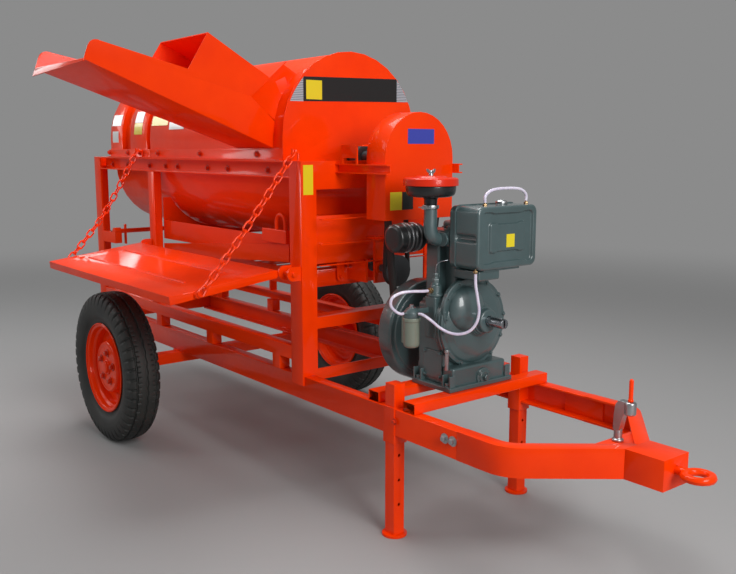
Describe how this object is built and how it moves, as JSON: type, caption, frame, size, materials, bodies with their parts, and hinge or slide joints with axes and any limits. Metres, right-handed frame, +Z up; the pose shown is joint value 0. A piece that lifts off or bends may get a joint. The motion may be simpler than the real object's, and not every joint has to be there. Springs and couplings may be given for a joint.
{
  "type": "trailed threshing machine",
  "caption": "Trailed crop thresher: drum and blowers on a two-wheel chassis, side feed chute and folding platform, diesel engine driving by belt.",
  "frame": {"origin": "middle of the machine's floor plan, on the ground", "axes": "+X forward along the tow line, +Y to the machine's left, +Z up"},
  "size_m": [3.7696, 1.982, 1.8625],
  "materials": {
    "tyre_rubber": "matt black rubber",
    "orange_paint": "gloss orange enamel",
    "bare_steel": "bare steel",
    "cast_metal": "grey cast iron",
    "engine_paint": "satin grey-green engine enamel",
    "black_paint": "black heat paint",
    "filter_paint": "grey enamel",
    "belt_rubber": "matt black belting",
    "hose_plastic": "clear lilac tubing"
  },
  "bodies": {
    "chassis": {"axle": "orange_paint", "chassis_beam_right": "orange_paint", "chassis_beam_left": "orange_paint", "engine_bed_rear": "orange_paint", "engine_bed_front": "orange_paint", "drawbar_arm_right": "orange_paint", "drawbar_arm_left": "orange_paint", "drawbar_nose": "orange_paint", "tow_eye": "orange_paint", "frame_front": "orange_paint", "frame_middle": "orange_paint", "frame_rear": "orange_paint", "lower_rail_right": "orange_paint", "lower_rail_left": "orange_paint", "drum_cover": "orange_paint", "drum_front_plate": "orange_paint", "fan_cover": "orange_paint", "lower_casing": "orange_paint", "feed_chute": "orange_paint", "grain_hopper": "orange_paint", "belt_guard": "orange_paint", "guard_bracket": "orange_paint", "air_cleaner": "orange_paint", "concave": "bare_steel", "bearing_front": "cast_metal", "bearing_rear": "cast_metal", "injection_pump": "cast_metal", "crankcase": "engine_paint", "gear_cover": "engine_paint", "cylinder_block": "engine_paint", "fuel_tank": "engine_paint", "silencer": "black_paint", "fuel_filter": "filter_paint", "drive_belt": "belt_rubber", "counter_belt": "belt_rubber", "fuel_hose_pump": "hose_plastic", "fuel_hose_tank": "hose_plastic", "return_hose": "hose_plastic"},
    "wheel_right_body": {"tyre_right": "tyre_rubber", "wheel_right": "orange_paint"},
    "wheel_left_body": {"tyre_left": "tyre_rubber", "wheel_left": "orange_paint"},
    "leg_right_body": {"leg_right": "orange_paint"},
    "leg_left_body": {"leg_left": "orange_paint"},
    "rotor_body": {"rotor": "cast_metal", "drum_pulley": "cast_metal"},
    "counter_body": {"counter_shaft": "orange_paint"},
    "crank_body": {"flywheel": "cast_metal"},
    "start_shaft_body": {"start_shaft": "bare_steel"},
    "sieve_body": {"sieve_box": "orange_paint"},
    "hanger_front_right_body": {"hanger_front_right": "orange_paint"},
    "hanger_front_left_body": {"hanger_front_left": "orange_paint"},
    "hanger_rear_right_body": {"hanger_rear_right": "orange_paint"},
    "hanger_rear_left_body": {"hanger_rear_left": "orange_paint"},
    "platform_body": {"platform": "orange_paint"},
    "chain_front_body": {"chain_front": "orange_paint"},
    "chain_rear_body": {"chain_rear": "orange_paint"},
    "tank_cap_body": {"tank_cap": "bare_steel"},
    "handle_body": {"start_handle": "bare_steel"},
    "grip_body": {"handle_grip": "orange_paint"}
  },
  "joints": [
    {"name": "wheel_right_spin", "type": "hinge", "parent": "chassis", "child": "wheel_right_body", "pos_m": [-0.88475, -0.49149, 0.3675], "axis": [0, 1, 0], "continuous": true},
    {"name": "wheel_left_spin", "type": "hinge", "parent": "chassis", "child": "wheel_left_body", "pos_m": [-0.88475, 0.90851, 0.3675], "axis": [0, 1, 0], "continuous": true},
    {"name": "leg_right_slide", "type": "slide", "parent": "chassis", "child": "leg_right_body", "axis": [0, 0, 1], "range_m": [0, 0.3]},
    {"name": "leg_left_slide", "type": "slide", "parent": "chassis", "child": "leg_left_body", "axis": [0, 0, 1], "range_m": [0, 0.3]},
    {"name": "drum_spin", "type": "hinge", "parent": "chassis", "child": "rotor_body", "pos_m": [0.11525, 0.20851, 1.39], "axis": [1, 0, 0], "continuous": true},
    {"name": "crank_spin", "type": "hinge", "parent": "chassis", "child": "crank_body", "pos_m": [0.82025, 0.20851, 0.705], "axis": [1, 0, 0], "continuous": true},
    {"name": "counter_shaft_spin", "type": "hinge", "parent": "chassis", "child": "counter_body", "pos_m": [0.31525, 0.20851, 0.925], "axis": [1, 0, 0], "continuous": true},
    {"name": "start_shaft_spin", "type": "hinge", "parent": "chassis", "child": "start_shaft_body", "pos_m": [0.91525, 0.21851, 0.79], "axis": [1, 0, 0], "continuous": true},
    {"name": "sieve_shake", "type": "slide", "parent": "chassis", "child": "sieve_body", "axis": [0, 1, 0], "range_m": [-0.007, 0.007]},
    {"name": "platform_fold", "type": "hinge", "parent": "chassis", "child": "platform_body", "pos_m": [-0.48475, -0.19649, 0.925], "axis": [-1, 0, 0], "range_deg": [0, 70]},
    {"name": "chain_front_swing", "type": "hinge", "parent": "chassis", "child": "chain_front_body", "pos_m": [0.24825, -0.17279, 1.41695], "axis": [1, 0, 0], "range_deg": [0, 21]},
    {"name": "chain_rear_swing", "type": "hinge", "parent": "chassis", "child": "chain_rear_body", "pos_m": [-1.24275, -0.17279, 1.41695], "axis": [1, 0, 0], "range_deg": [0, 21]},
    {"name": "tank_cap_turn", "type": "hinge", "parent": "chassis", "child": "tank_cap_body", "pos_m": [0.93475, 0.28371, 1.225], "axis": [0, 0, 1], "continuous": true},
    {"name": "handle_swing", "type": "hinge", "parent": "chassis", "child": "handle_body", "pos_m": [1.54025, 0.20851, 0.52], "axis": [0, 0, 1], "continuous": true},
    {"name": "grip_turn", "type": "hinge", "parent": "handle_body", "child": "grip_body", "pos_m": [1.58225, 0.20851, 0.6], "axis": [0, 0, 1], "continuous": true},
    {"name": "hanger_front_right_swing", "type": "hinge", "parent": "chassis", "child": "hanger_front_right_body", "pos_m": [0.17525, 0.10351, 0.988], "axis": [1, 0, 0], "range_deg": [-3.9, 3.9]},
    {"name": "hanger_front_left_swing", "type": "hinge", "parent": "chassis", "child": "hanger_front_left_body", "pos_m": [0.17525, 0.31351, 0.988], "axis": [1, 0, 0], "range_deg": [-3.9, 3.9]},
    {"name": "hanger_rear_right_swing", "type": "hinge", "parent": "chassis", "child": "hanger_rear_right_body", "pos_m": [-1.05475, 0.10351, 0.988], "axis": [1, 0, 0], "range_deg": [-3.9, 3.9]},
    {"name": "hanger_rear_left_swing", "type": "hinge", "parent": "chassis", "child": "hanger_rear_left_body", "pos_m": [-1.05475, 0.31351, 0.988], "axis": [1, 0, 0], "range_deg": [-3.9, 3.9]}
  ],
  "couplings": [
    {"joint": "crank_spin", "follows": "drum_spin", "ratio": 1.9333},
    {"joint": "counter_shaft_spin", "follows": "drum_spin", "ratio": 0.53571},
    {"joint": "start_shaft_spin", "follows": "drum_spin", "ratio": -0.96667},
    {"joint": "chain_front_swing", "follows": "platform_fold", "ratio": 0.3},
    {"joint": "chain_rear_swing", "follows": "platform_fold", "ratio": 0.3},
    {"joint": "hanger_front_right_swing", "follows": "sieve_shake", "rad_per_m": 9.1324},
    {"joint": "hanger_front_left_swing", "follows": "sieve_shake", "rad_per_m": 9.1324},
    {"joint": "hanger_rear_right_swing", "follows": "sieve_shake", "rad_per_m": 9.1324},
    {"joint": "hanger_rear_left_swing", "follows": "sieve_shake", "rad_per_m": 9.1324}
  ]
}
